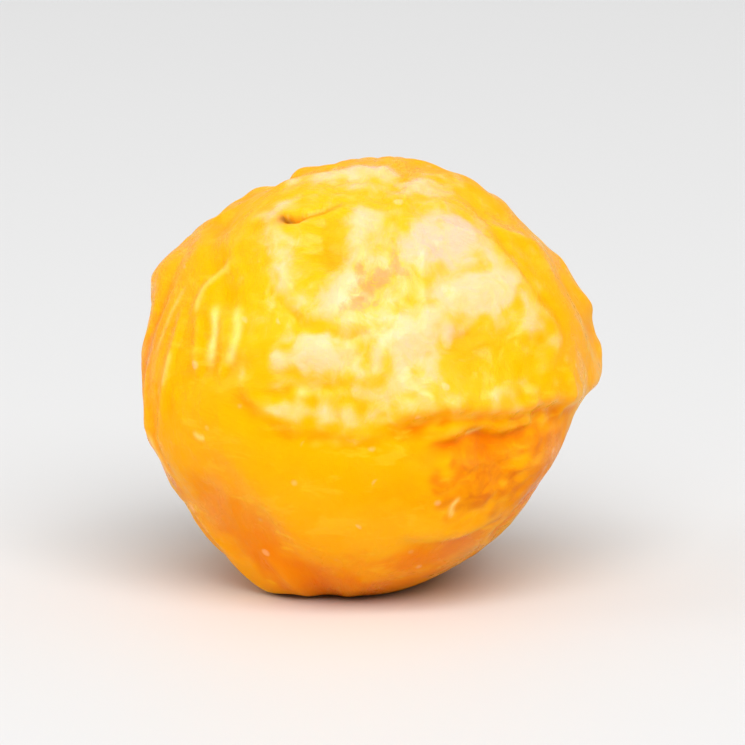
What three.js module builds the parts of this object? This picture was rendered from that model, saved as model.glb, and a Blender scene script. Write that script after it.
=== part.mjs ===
// One physalis berry, husked and soft-dried whole, lying on its own flattened side.
// Millimetres, +Z up. The front faces -Y and +X is to the right. The origin is under the
// middle of the berry, on the surface that it lies on.
// The berry grew as one piece, so it is one closed skin: a plump body, pressed flats and
// hollows, folds of loose skin, the stem scar, the tip, and shrunken wrinkles.
import * as THREE from "three";
import { mergeVertices } from "three/addons/utils/BufferGeometryUtils.js";

// Driving dimensions of the plump body, before the skin shrank.
const WIDTH = 18.8;
const DEPTH = 18.0;
const HEIGHT = 17.7;
const MEAN_RADIUS = (WIDTH + DEPTH + HEIGHT) / 6;

// The sagging foot: how far it flattens up from the lowest point, and how round its edge is.
const FOOT_LIFT = 0.45;
const FOOT_EDGE = 0.35;

// Each edge of the twenty-sided start is cut in this many pieces.
const EDGE_CUTS = 23;

// A direction from the middle of the berry: pan is degrees to the right of the front, and
// rise is degrees above level.
function towards(pan, rise) {
  const p = THREE.MathUtils.degToRad(pan);
  const r = THREE.MathUtils.degToRad(rise);
  return new THREE.Vector3(
    Math.sin(p) * Math.cos(r),
    -Math.cos(p) * Math.cos(r),
    Math.sin(r),
  );
}

const STEM = towards(3, 38);
const TIP = STEM.clone().negate();

// A place an arc away from the stem scar, turned round it from straight down, in degrees.
function fromStem(turn, arc) {
  const t = THREE.MathUtils.degToRad(turn);
  const a = THREE.MathUtils.degToRad(arc);
  const down = new THREE.Vector3(0, 0, -1).addScaledVector(STEM, STEM.z).normalize();
  const aside = new THREE.Vector3().crossVectors(STEM, down);
  const out = down.multiplyScalar(Math.cos(t)).addScaledVector(aside, Math.sin(t));
  return out.multiplyScalar(Math.sin(a)).addScaledVector(STEM, Math.cos(a));
}

// Random numbers from 0 to 1. The same seed always draws the same skin.
const DRAW_STEP = 16807;
const DRAW_RANGE = 2147483647;
function numbers(seed) {
  let state = seed;
  return () => {
    state = (state * DRAW_STEP) % DRAW_RANGE;
    return state / DRAW_RANGE;
  };
}
const between = ([low, high], share) => low + (high - low) * share;

const bell = (distance, reach) => Math.exp(-((distance / reach) ** 2));
const ease = (t) => {
  const s = Math.min(Math.max(t, 0), 1);
  return s * s * (3 - 2 * s);
};
const alongSkin = (d, place) => d.distanceTo(place) * MEAN_RADIUS;

// Bulges and hollows: where, how wide, and how high, in millimetres.
const SWELLS = [
  { at: towards(86, -20), reach: 3.4, height: -1.4 },
  { at: towards(87, -13), reach: 1.5, height: -0.65 },
  { at: towards(68, -50), reach: 4.6, height: -0.85 },
  { at: towards(87, 30), reach: 2.8, height: -0.4 },
  { at: towards(-74, -50), reach: 3.8, height: 1.05 },
  { at: towards(-97, 34), reach: 2.2, height: 1.0 },
  { at: towards(-105, 55), reach: 1.8, height: -0.15 },
  { at: towards(-97, 15), reach: 1.9, height: -0.6 },
  { at: towards(-98, -16), reach: 2.0, height: -0.55 },
  { at: towards(-78, -46), reach: 1.7, height: 0.2 },
  { at: towards(-55, -71), reach: 1.6, height: -0.3 },
  { at: towards(-112, 62), reach: 2.8, height: -0.35 },
  { at: towards(89, 7), reach: 1.7, height: 0.8 },
  { at: towards(-21, 44), reach: 1.25, height: -0.4 },
  { at: towards(31, 20), reach: 1.6, height: -0.4 },
  { at: towards(150, 10), reach: 4.2, height: -0.6 },
  { at: towards(-150, -18), reach: 3.2, height: 0.45 },
  { at: towards(178, 52), reach: 3.0, height: 0.4 },
];

// Flats where the skin was pressed in: the way each faces and how deep it cuts.
const FLATS = [
  { faces: towards(-48, -34), depth: 0.42 },
  { faces: towards(34, -30), depth: 0.3 },
  { faces: towards(120, 40), depth: 0.35 },
  { faces: towards(-135, 15), depth: 0.4 },
];
const FLAT_EDGE = 0.35;
// A flat reaches this cosine from the way that it faces, at most.
const FLAT_REACH = 0.5;
const SMALL_FLATS = { count: 30, seed: 23, least: -0.05, most: 0.3, jitter: 16 };
const GOLDEN_TURN = 137.508;

// Small flats spread evenly round the berry, each turned a little and pressed at random.
function smallFlats({ count, seed, least, most, jitter }) {
  const next = numbers(seed);
  return Array.from({ length: count }, (_, k) => {
    const level = THREE.MathUtils.radToDeg(Math.asin(1 - (2 * k + 1) / count));
    const rise = level + jitter * (next() - 0.5);
    const pan = GOLDEN_TURN * k + jitter * (next() - 0.5);
    return { faces: towards(pan, rise), depth: least + (most - least) * next() };
  });
}

// The smaller of two lengths, with the corner rounded over `edge`.
function softMin(a, b, edge) {
  const h = Math.max(edge - Math.abs(a - b), 0) / edge;
  return Math.min(a, b) - (h * h * edge) / 4;
}

const flats = [...FLATS, ...smallFlats(SMALL_FLATS)];

function bodyRadius(d) {
  let r = 1 / Math.hypot(d.x / (WIDTH / 2), d.y / (DEPTH / 2), d.z / (HEIGHT / 2));
  for (const { at, reach, height } of SWELLS) r += height * bell(alongSkin(d, at), reach);
  for (const { faces, depth } of flats) {
    const plane = (MEAN_RADIUS - depth) / Math.max(d.dot(faces), FLAT_REACH);
    r = softMin(r, plane, FLAT_EDGE);
  }
  return r;
}

// Folds of skin, each along a line of places [pan, rise], with its width and height. A lip
// is high on its left side, going along the line, and low on its right.
const LIPS = [
  // The left shoulder.
  { line: [[-36, 8], [-30, 3], [-24, -1], [-17, -2]], width: 0.4, height: 0.12 },
  // The middle shoulder.
  { line: [[-20, -4], [-12, -3], [-4, -5], [5, -4]], width: 0.4, height: 0.1 },
  // The right shoulder.
  { line: [[2, -4], [9, 0], [20, 2], [37, 0], [48, 1], [62, -1], [80, -3]], width: 0.4, height: 0.36 },
  // The second shoulder.
  { line: [[12, -6], [21, -5], [28, -3], [36, -5], [48, -3]], width: 0.4, height: 0.24 },
  // The rear shoulder.
  { line: [[78, -3], [98, -6], [122, -6], [150, -12], [176, -20]], width: 0.6, height: 0.32 },
  // The lower right facet.
  { line: [[6, -33], [20, -36], [33, -36], [46, -28]], width: 0.5, height: 0.16 },
  // The lower left facet.
  { line: [[-14, -56], [-24, -40], [-31, -26], [-38, -14], [-46, -6]], width: 0.9, height: -0.1 },
];

// Ridges on the crown, round the stem scar, and the hollows between them.
const CROWN_FOLDS = [
  // The brow.
  { line: [[-67, 60], [-68, 68], [-44, 75], [9, 77], [40, 72]], width: 0.55, height: 0.16 },
  // The left collar.
  { line: [[-55, 60], [-37, 47], [-29, 38], [-20, 29], [-12, 24]], width: 0.42, height: 0.16 },
  // The middle ridge.
  { line: [[-10, 62], [-3, 43], [-9, 31], [-13, 24]], width: 0.5, height: 0.19 },
  // The top ridge.
  { line: [[4, 64], [24, 61], [46, 58]], width: 0.6, height: 0.1 },
  // The upper right ridge.
  { line: [[12, 41], [28, 48], [50, 48]], width: 0.65, height: 0.16 },
  // The right ridge.
  { line: [[22, 31], [36, 33], [51, 30]], width: 0.65, height: 0.18 },
  // The ridge under the scar.
  { line: [[0, 14], [9, 21], [19, 22]], width: 0.6, height: 0.18 },
  // The left band.
  { line: [[-28, 14], [-17, 18], [-5, 17]], width: 0.6, height: 0.16 },
  // The right rim.
  { line: [[54, 26], [56, 16], [46, 8]], width: 0.42, height: 0.11 },
  // The nick.
  { line: [[-39, 53], [-36, 54], [-30, 55]], width: 0.4, height: -0.3 },
  // The left hollow.
  { line: [[-20, 59], [-17, 47], [-10, 38]], width: 0.6, height: -0.21 },
  // The collar groove.
  { line: [[-35, 35], [-20, 25], [-6, 21], [3, 26]], width: 0.4, height: -0.12 },
  // The band groove.
  { line: [[-32, 5], [-17, 8], [0, 10]], width: 0.4, height: -0.09 },
  // The right hollow.
  { line: [[20, 21], [33, 17], [46, 21]], width: 0.75, height: -0.22 },
  // The rim groove.
  { line: [[66, 64], [57, 48], [55, 31], [64, 13]], width: 0.42, height: -0.11 },
  // The upper groove.
  { line: [[14, 53], [30, 39], [46, 39]], width: 0.4, height: -0.09 },
];

// Pleats down the left side, and a fold across the right of the front.
const SIDE_FOLDS = [
  // The left pleat.
  { line: [[-54, 24], [-49, 15], [-48, 6]], width: 0.36, height: 0.14 },
  // The long pleat.
  { line: [[-62, 26], [-59, 12], [-60, 0], [-68, -19]], width: 0.38, height: 0.15 },
  // The pleat at the rim.
  { line: [[-72, 10], [-70, -5], [-70, -16], [-73, -26]], width: 0.38, height: 0.15 },
  // The left seam.
  { line: [[-80, 40], [-76, 20], [-78, 0], [-84, -20]], width: 0.55, height: -0.22 },
  // The right facet top.
  { line: [[16, -9], [27, -12], [36, -11], [48, -8]], width: 0.4, height: 0.08 },
];

// Folds that run from the stem over the sides and the back, at random, from a fixed seed.
// Turns, starts, lengths and sway are in degrees, as in fromStem.
const LONG_FOLDS = {
  count: 30,
  seed: 71,
  turns: [68, 292],
  jitter: 0.7,
  starts: [22, 97],
  lengths: [35, 70],
  sway: 14,
  widths: [0.35, 0.7],
  heights: [0.16, 0.36],
  raisedShare: 0.55,
};

function longFolds(sizes) {
  const { count, seed, turns, jitter, starts, lengths, sway, widths, heights, raisedShare } = sizes;
  const next = numbers(seed);
  return Array.from({ length: count }, (_, k) => {
    const turn = between(turns, (k + jitter * next()) / count);
    const start = between(starts, next());
    const length = between(lengths, next());
    const swing = sway * (next() - 0.5);
    const line = [0, 1, 2, 3, 4].map((j) =>
      fromStem(turn + swing * (-1) ** j, start + (length * j) / 4),
    );
    const width = between(widths, next());
    const height = between(heights, next());
    return { line, width, height: next() < raisedShare ? height : -height };
  });
}

// Short folds that run in to the tip, where the flower was.
const TIP_PUCKERS = {
  count: 7,
  seed: 5,
  spacing: 51,
  jitter: 40,
  starts: [146, 164],
  end: 173,
  curl: 30,
  width: 0.4,
  depths: [0.05, 0.2],
};

function tipPuckers({ count, seed, spacing, jitter, starts, end, curl, width, depths }) {
  const next = numbers(seed);
  return Array.from({ length: count }, (_, k) => {
    const turn = spacing * k + jitter * next();
    const start = between(starts, next());
    const bend = curl * (next() - 0.5);
    const line = [0, 1, 2].map((j) => fromStem(turn + bend * j, start + ((end - start) * j) / 2));
    return { line, width, height: -between(depths, next()) };
  });
}

// Each fold's line becomes points along a smooth curve on the unit ball.
const STEPS_PER_PART = 4;
function laid(fold) {
  const places = fold.line.map((place) => (Array.isArray(place) ? towards(...place) : place));
  const curve = new THREE.CatmullRomCurve3(places, false, "catmullrom", 0.5);
  const steps = STEPS_PER_PART * (places.length - 1);
  return { ...fold, steps, points: curve.getPoints(steps).map((p) => p.normalize()) };
}

const lips = LIPS.map(laid);
const frontFolds = [...CROWN_FOLDS, ...SIDE_FOLDS, ...tipPuckers(TIP_PUCKERS)].map(laid);
const backFolds = longFolds(LONG_FOLDS).map(laid);

// Distance in millimetres from direction d to a fold's curve, the share of the way along it,
// and 1 on its left side or -1 on its right.
function nearCurve({ points, steps }, d) {
  let best = Infinity;
  let share = 0;
  let side = 1;
  const along = new THREE.Vector3();
  const out = new THREE.Vector3();
  for (let i = 0; i < steps; i++) {
    along.subVectors(points[i + 1], points[i]);
    out.subVectors(d, points[i]);
    const t = Math.min(Math.max(out.dot(along) / along.lengthSq(), 0), 1);
    out.addScaledVector(along, -t);
    if (out.length() < best) {
      best = out.length();
      share = (i + t) / steps;
      side = Math.sign(along.clone().cross(out).dot(d)) || 1;
    }
  }
  return { distance: best * MEAN_RADIUS, share, side };
}

// A fold fades out over this share of its length at each end.
const FADE_SHARE = 0.22;
const fade = (share) => ease(share / FADE_SHARE) * ease((1 - share) / FADE_SHARE);

function ridgeHeight(fold, d) {
  const { distance, share } = nearCurve(fold, d);
  return fold.height * fade(share) * bell(distance, fold.width);
}

// A lip's step from low to high, and the widths over which both sides die away.
const LIP_STEEPNESS = 1.6;
const LIP_REACH = 3;

function lipHeight(fold, d) {
  const { distance, share, side } = nearCurve(fold, d);
  const step = Math.tanh((LIP_STEEPNESS * side * distance) / fold.width);
  return fold.height * fade(share) * step * bell(distance, LIP_REACH * fold.width);
}

const total = (folds, height, d) => folds.reduce((sum, fold) => sum + height(fold, d), 0);

// The back begins a little in front of the middle, and comes in over a share of the radius.
const BACK_START = -0.1;
const FOLDS_COME_IN = 0.4;
const WRINKLES_COME_IN = 0.8;

function foldHeight(d) {
  const behind = ease((d.y - BACK_START) / FOLDS_COME_IN);
  const back = behind > 0 ? behind * total(backFolds, ridgeHeight, d) : 0;
  return back + total(frontFolds, ridgeHeight, d) + total(lips, lipHeight, d);
}

// The stem scar is a shallow cup with a low rim. The tip is a dimple with a dry point in it.
const SCAR_CUP = { reach: 0.8, depth: 0.16 };
const SCAR_RIM = { radius: 1.1, width: 0.4, height: 0.05 };
const TIP_CUP = { reach: 1.3, depth: 0.35 };
const TIP_POINT = { reach: 0.42, height: 0.25 };

function endHeight(d) {
  const away = alongSkin(d, STEM);
  const rim = SCAR_RIM.height * bell(away - SCAR_RIM.radius, SCAR_RIM.width);
  const cup = SCAR_CUP.depth * bell(away, SCAR_CUP.reach);
  const toTip = alongSkin(d, TIP);
  const point = TIP_POINT.height * bell(toTip, TIP_POINT.reach);
  return rim - cup + point - TIP_CUP.depth * bell(toTip, TIP_CUP.reach);
}

// Wrinkles: crests of this spacing, drawn out along the way from the stem to the tip.
const WRINKLE = { seed: 41, spacing: 4.6, waves: 36 };
const WRINKLE_HEIGHT = 0.13;
const WRINKLE_STRETCH = 0.5;
const BACK_GAIN = 0.9;
const WARP = { seed: 7, spacing: 6.5, waves: 14 };
const WARP_SHIFT = 0.7;
const SOFT_CREST = 0.3;
const WRINKLE_START = 0.6;
const WRINKLE_COME_IN = 1.8;

// Places where the skin stayed full and smooth.
const SMOOTH = [
  { at: towards(-14, -28), reach: 4.6, share: 0.8 },
  { at: towards(60, 22), reach: 2.2, share: 0.5 },
  { at: new THREE.Vector3(0, 0, -1), reach: 3.6, share: 0.75 },
];

// A smooth random field: the sum of plane waves of about one spacing, about 1 high. Each
// wave's own spacing is this many times the field's.
const WAVE_LENGTHS = [0.75, 1.25];
function waveField({ seed, spacing, waves }) {
  const next = numbers(seed);
  const parts = Array.from({ length: waves }, () => {
    const up = 2 * next() - 1;
    const turn = 2 * Math.PI * next();
    const pace = (2 * Math.PI) / (spacing * between(WAVE_LENGTHS, next()));
    const side = Math.sqrt(1 - up * up) * pace;
    return [side * Math.cos(turn), side * Math.sin(turn), up * pace, 2 * Math.PI * next()];
  });
  const scale = Math.sqrt(2 / waves);
  const wave = (p, [x, y, z, shift]) => Math.cos(x * p.x + y * p.y + z * p.z + shift);
  return (p) => scale * parts.reduce((sum, part) => sum + wave(p, part), 0);
}

const warpX = waveField(WARP);
const warpZ = waveField({ ...WARP, seed: WARP.seed + 1 });
const wrinkles = waveField(WRINKLE);

// The way along is squeezed, so that crests come out long.
function wrinkleHeight(d) {
  const away = Math.acos(THREE.MathUtils.clamp(d.dot(STEM), -1, 1)) * MEAN_RADIUS;
  const place = d.clone().multiplyScalar(MEAN_RADIUS);
  const across = place.clone().addScaledVector(STEM, -place.dot(STEM));
  const bent = across.addScaledVector(STEM, away * WRINKLE_STRETCH);
  bent.x += WARP_SHIFT * warpX(place);
  bent.z += WARP_SHIFT * warpZ(place);
  const crest = 1 - Math.hypot(wrinkles(bent), SOFT_CREST);
  const loose = SMOOTH.reduce(
    (left, { at, reach, share }) => left * (1 - share * bell(alongSkin(d, at), reach)),
    1 + BACK_GAIN * ease((d.y - BACK_START) / WRINKLES_COME_IN),
  );
  return WRINKLE_HEIGHT * loose * crest * ease((away - WRINKLE_START) / WRINKLE_COME_IN);
}

// The distance from the middle of the berry to its skin in direction d.
const skinRadius = (d) => bodyRadius(d) + foldHeight(d) + wrinkleHeight(d) + endHeight(d);

// Lifts what sags below the floor on to it, with a rounded edge.
function stand(z, floor) {
  const t = (z - floor) / FOOT_EDGE;
  if (t <= -0.5) return floor;
  return t >= 0.5 ? z : floor + (FOOT_EDGE / 2) * (t + 0.5) ** 2;
}

// Corners of the start that lie closer than this, on a ball of radius 1, are one point.
const SAME_POINT = 1e-5;

function berryGeometry() {
  const start = new THREE.IcosahedronGeometry(1, EDGE_CUTS - 1);
  start.deleteAttribute("normal");
  start.deleteAttribute("uv");
  const geometry = mergeVertices(start, SAME_POINT);
  const position = geometry.attributes.position;
  const floor = -HEIGHT / 2 + FOOT_LIFT;
  const d = new THREE.Vector3();
  for (let i = 0; i < position.count; i++) {
    d.fromBufferAttribute(position, i).normalize();
    d.multiplyScalar(skinRadius(d));
    position.setXYZ(i, d.x, d.y, stand(d.z, floor) - floor);
  }
  geometry.computeBoundingBox();
  const { min, max } = geometry.boundingBox;
  geometry.translate(-(min.x + max.x) / 2, -(min.y + max.y) / 2, 0);
  geometry.computeVertexNormals();
  return geometry;
}

const berry = new THREE.Mesh(
  berryGeometry(),
  new THREE.MeshStandardMaterial({ color: 0xf5ac08, roughness: 0.3, metalness: 0 }),
);
berry.name = "berry";

const part = new THREE.Group();
part.add(berry);
export default part;
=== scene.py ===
# %% [markdown]
# # A soft-dried physalis berry
# The berry has lost its husk and much of its water. Its skin has sunk in flats, folded over
# at the shoulder and wrinkled away from the stem scar, and it shines with its own syrup.
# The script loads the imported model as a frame, makes one fine skin over it, gives the skin
# its finish, and sets up a plain studio. Lengths of the form are in millimetres until the
# mesh is made, because that is how a berry is measured. Blender itself works in metres.

import math

import bpy
import numpy as np
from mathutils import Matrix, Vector


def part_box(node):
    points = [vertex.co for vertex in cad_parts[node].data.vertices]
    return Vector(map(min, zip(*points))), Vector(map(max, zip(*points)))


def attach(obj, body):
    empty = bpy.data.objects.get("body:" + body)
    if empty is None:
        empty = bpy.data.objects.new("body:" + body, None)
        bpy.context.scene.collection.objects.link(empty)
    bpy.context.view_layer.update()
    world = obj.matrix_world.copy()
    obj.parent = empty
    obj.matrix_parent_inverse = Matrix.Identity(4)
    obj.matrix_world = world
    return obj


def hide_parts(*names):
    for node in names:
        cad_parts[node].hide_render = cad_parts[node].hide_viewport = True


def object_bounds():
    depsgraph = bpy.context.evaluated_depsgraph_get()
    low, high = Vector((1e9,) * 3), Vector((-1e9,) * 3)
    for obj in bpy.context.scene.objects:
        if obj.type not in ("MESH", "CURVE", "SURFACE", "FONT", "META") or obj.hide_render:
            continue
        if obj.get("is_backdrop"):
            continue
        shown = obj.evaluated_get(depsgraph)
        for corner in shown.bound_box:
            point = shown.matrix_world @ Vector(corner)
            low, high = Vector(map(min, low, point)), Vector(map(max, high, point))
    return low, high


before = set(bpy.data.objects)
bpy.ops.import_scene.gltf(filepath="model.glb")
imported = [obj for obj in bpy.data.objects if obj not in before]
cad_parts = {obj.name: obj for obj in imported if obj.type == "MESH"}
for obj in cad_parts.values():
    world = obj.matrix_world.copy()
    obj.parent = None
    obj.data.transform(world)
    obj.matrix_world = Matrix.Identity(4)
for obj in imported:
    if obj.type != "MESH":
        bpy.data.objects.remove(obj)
cad_low, cad_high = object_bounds()
box_low, box_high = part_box("berry")
MM = 0.001
berry_size = np.array(box_high - box_low) / MM
print("the packed berry is", berry_size.round(2), "mm")

# %% [markdown]
# ## The camera
# The photograph is taken from the front, a little above the berry, through a long lens,
# which keeps a small fruit from bulging. The berry fills a little over half of the frame.
# A camera could be moved by eye until the frame looks right. Here the lens comes from the
# width that the frame takes in at the berry's distance, so the framing follows the size.

# %% The camera
VIEW_RISE = math.radians(11)
VIEW_DISTANCE = 0.258
FRAME_WIDTH = 0.030
SENSOR_WIDTH = 36
NEAREST_SEEN = 0.01


def add(name, data):
    """A new object in the scene, with its camera, light or mesh."""
    made = bpy.data.objects.new(name, data)
    bpy.context.scene.collection.objects.link(made)
    return made


def aim(thing, place, target):
    """Puts a camera or a light at a place and turns it to look at the target."""
    thing.location = place
    thing.rotation_euler = (Vector(target) - Vector(place)).to_track_quat("-Z", "Y").to_euler()


middle = (np.array(box_low) + np.array(box_high)) / 2
camera_data = bpy.data.cameras.new("camera")
camera_data.sensor_width = SENSOR_WIDTH
camera_data.lens = SENSOR_WIDTH * VIEW_DISTANCE / FRAME_WIDTH
camera_data.clip_start = NEAREST_SEEN
camera = add("camera", camera_data)
back_off = np.array([0, -math.cos(VIEW_RISE), math.sin(VIEW_RISE)]) * VIEW_DISTANCE
aim(camera, middle + back_off, middle)
bpy.context.scene.camera = camera
print("lens", round(camera_data.lens), "mm")

# %% [markdown]
# ## Directions on the berry
# Every feature has a place on the skin. It could be sculpted there by hand, but then nothing
# could be moved or measured later. Here a place is a direction from the berry's middle: pan
# is degrees to the right of the front, and rise is degrees above level. A fold is moved by
# changing two numbers, and the mesh follows.

# %% Directions, and two soft curves that everything uses
WIDTH = 18.8
DEPTH = 18.0
HEIGHT = 17.7
MEAN_RADIUS = (WIDTH + DEPTH + HEIGHT) / 6


def towards(pan, rise):
    p = math.radians(pan)
    r = math.radians(rise)
    return np.array([math.sin(p) * math.cos(r), -math.cos(p) * math.cos(r), math.sin(r)])


def bell(distance, reach):
    return np.exp(-((distance / reach) ** 2))


def ease(t):
    s = np.clip(t, 0, 1)
    return s * s * (3 - 2 * s)


def along_skin(d, place):
    """How far each direction is from a place, in millimetres of skin."""
    return np.linalg.norm(d - place, axis=1) * MEAN_RADIUS


STEM = towards(3, 38)
print("the stem scar faces", STEM.round(2))

# %% [markdown]
# ## A net of points
# The skin is one closed sheet round the fruit. A ball made of rings would pinch at its
# poles, and the wrinkles would show it. Here six square patches, like the sides of a
# blown-up cube, cover the ball with nearly even quads, and any place on it is as fine as
# the next.

# %% The net
NET_CUTS = 127
SAME_POINT_DIGITS = 6


def round_net(cuts):
    """The points of a unit ball and its four-sided faces, which all face outwards."""
    step = np.tan((np.arange(cuts + 1) / cuts - 0.5) * np.pi / 2)
    u, v = np.meshgrid(step, step, indexing="ij")
    one = np.ones_like(u)
    patches = [(one, u, v), (-one, v, u), (v, one, u), (u, -one, v), (u, v, one), (v, u, -one)]
    points = np.concatenate([np.stack(patch, -1).reshape(-1, 3) for patch in patches])
    points /= np.linalg.norm(points, axis=1, keepdims=True)
    i, j = np.meshgrid(np.arange(cuts), np.arange(cuts), indexing="ij")
    first = (i * (cuts + 1) + j).ravel()
    quads = np.stack([first, first + cuts + 1, first + cuts + 2, first + 1], -1)
    faces = np.concatenate([quads + k * (cuts + 1) ** 2 for k in range(len(patches))])
    rounded = points.round(SAME_POINT_DIGITS)
    _, kept, back = np.unique(rounded, axis=0, return_index=True, return_inverse=True)
    return points[kept], back.reshape(-1)[faces]


ball, faces = round_net(NET_CUTS)
print("the net has", len(ball), "points and", len(faces), "quads")

# %% [markdown]
# ## Chance that repeats
# A skin has no two wrinkles alike, so many of its folds are drawn at random. Python's own
# random module would do, but a generator of one line is the same in every program and every
# version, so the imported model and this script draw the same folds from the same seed.

# %% Random numbers
DRAW_STEP = 16807
DRAW_RANGE = 2147483647


def numbers(seed):
    """Random numbers from 0 to 1, the same ones for the same seed."""
    while True:
        seed = seed * DRAW_STEP % DRAW_RANGE
        yield seed / DRAW_RANGE


def between(draw, low, high):
    """The next random number, from low to high."""
    return low + (high - low) * next(draw)


def either_way(draw, most):
    """The next random number, up to half of most to either side of nothing."""
    return most * (next(draw) - 0.5)


sample = numbers(23)
print("seed 23 starts with", [round(next(sample), 3) for _ in range(4)])

# %% [markdown]
# ## The plump body
# A dried berry is still close to a ball. Broad bulges and hollows come first, then the flats
# where it was pressed. Flats could be cut with a Boolean, but that leaves hard edges. Here a
# flat is the smaller of two radii, the body's and the plane's, with the corner between them
# rounded, which leaves a soft ridge round each flat.

# %% Bulges, hollows and flats
# Each swell: pan, rise, reach and height. Each flat: the pan and rise it faces, and its depth.
SWELLS = [
    (86, -20, 3.4, -1.4),
    (87, -13, 1.5, -0.65),
    (68, -50, 4.6, -0.85),
    (87, 30, 2.8, -0.4),
    (-74, -50, 3.8, 1.05),
    (-97, 34, 2.2, 1.0),
    (-105, 55, 1.8, -0.15),
    (-97, 15, 1.9, -0.6),
    (-98, -16, 2.0, -0.55),
    (-78, -46, 1.7, 0.2),
    (-55, -71, 1.6, -0.3),
    (-112, 62, 2.8, -0.35),
    (89, 7, 1.7, 0.8),
    (-21, 44, 1.25, -0.4),
    (31, 20, 1.6, -0.4),
    (150, 10, 4.2, -0.6),
    (-150, -18, 3.2, 0.45),
    (178, 52, 3.0, 0.4),
]
FLATS = [
    (-48, -34, 0.42),
    (34, -30, 0.3),
    (120, 40, 0.35),
    (-135, 15, 0.4),
]
print(len(SWELLS), "swells and", len(FLATS), "flats are placed by eye")

# %% Small flats all round
SMALL_FLATS = {"count": 30, "seed": 23, "least": -0.05, "most": 0.3, "jitter": 16}
GOLDEN_TURN = 137.508


def small_flats(count, seed, least, most, jitter):
    """Flats spread evenly round the berry, each turned a little and pressed at random."""
    draw = numbers(seed)
    made = []
    for k in range(count):
        rise = math.degrees(math.asin(1 - (2 * k + 1) / count)) + either_way(draw, jitter)
        pan = GOLDEN_TURN * k + either_way(draw, jitter)
        made.append((pan, rise, between(draw, least, most)))
    return made


print("pan, rise and depth of the first:", np.round(small_flats(**SMALL_FLATS)[0], 2))

# %% The body's radius
FLAT_EDGE = 0.35
FLAT_REACH = 0.5


def soft_min(a, b, edge):
    """The smaller of two lengths, with the corner rounded over the edge."""
    h = np.maximum(edge - np.abs(a - b), 0) / edge
    return np.minimum(a, b) - h * h * edge / 4


def body_radius(d):
    """How far out the skin lies in each direction, without its folds."""
    r = 1 / np.linalg.norm(d / (np.array([WIDTH, DEPTH, HEIGHT]) / 2), axis=1)
    for pan, rise, reach, height in SWELLS:
        r = r + height * bell(along_skin(d, towards(pan, rise)), reach)
    for pan, rise, depth in FLATS + small_flats(**SMALL_FLATS):
        flat = (MEAN_RADIUS - depth) / np.maximum(d @ towards(pan, rise), FLAT_REACH)
        r = soft_min(r, flat, FLAT_EDGE)
    return r


body = body_radius(ball)
print("the body's radius runs from", body.min().round(2), "to", body.max().round(2), "mm")

# %% [markdown]
# ## Lines on the skin
# Folds, grooves and streaks all follow lines. A line could be a Blender curve, pressed into
# the mesh by a modifier. Here it is a few places on the skin with a smooth curve through
# them, and every point of the net is measured against it: how far away it is, how far along
# the line it lies, and on which side. The same measure then serves for height and colour.

# %% A smooth curve on the ball
def curve_on_ball(line, steps):
    """Points of a smooth curve through the line's places, on the unit ball."""
    p = line if isinstance(line, np.ndarray) else np.array([towards(*place) for place in line])
    p = np.vstack([2 * p[0] - p[1], p, 2 * p[-1] - p[-2]])
    out = []
    for i in range(steps + 1):
        u = (len(line) - 1) * i / steps
        k = min(int(u), len(line) - 2)
        t = u - k
        before, start, end, after = p[k : k + 4]
        leave = (end - before) / 2
        arrive = (after - start) / 2
        cubic = 2 * start - 2 * end + leave + arrive
        square = -3 * start + 3 * end - 2 * leave - arrive
        out.append(start + leave * t + square * t**2 + cubic * t**3)
    out = np.array(out)
    return out / np.linalg.norm(out, axis=1, keepdims=True)


# %% How near the curve each point is
FAR = 99
STEPS_PER_PART = 4


def near_curve(d, line, reach=FAR):
    """For each direction: millimetres to the curve, share of the way along it, and side."""
    steps = STEPS_PER_PART * (len(line) - 1)
    p = curve_on_ball(line, steps)
    distance = np.full(len(d), np.inf)  # what is out of reach stays there
    share = np.zeros(len(d))
    side = np.ones(len(d))
    centre = p.mean(0)
    span = np.linalg.norm(p - centre, axis=1).max() + reach / MEAN_RADIUS
    close = np.flatnonzero(np.linalg.norm(d - centre, axis=1) < span)
    here = d[close]
    best = distance[close]
    for i in range(steps):
        step = p[i + 1] - p[i]
        out = here - p[i]
        t = np.clip(out @ step / (step @ step), 0, 1)
        out = out - t[:, None] * step
        length = np.linalg.norm(out, axis=1)
        near = length < best
        best[near] = length[near]
        share[close[near]] = (i + t[near]) / steps
        turned = np.einsum("ij,ij->i", np.cross(step, out[near]), here[near])
        side[close[near]] = np.where(turned < 0, -1, 1)
    distance[close] = best
    return distance * MEAN_RADIUS, share, side


# %% Ends that fade
FADE_SHARE = 0.22


def fade(share):
    """1 along most of a line, down to nothing at both of its ends."""
    return ease(share / FADE_SHARE) * ease((1 - share) / FADE_SHARE)


# %% [markdown]
# ## Lips at the shoulder
# Loose skin slides down and folds over, like a sleeve pushed down a wrist. Such a lip is
# high on one side of its line and low on the other. A cloth simulation could fold a skin,
# but not along the lines that this berry shows. A step that is steep at the line and dies
# out to both sides does it.

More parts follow.
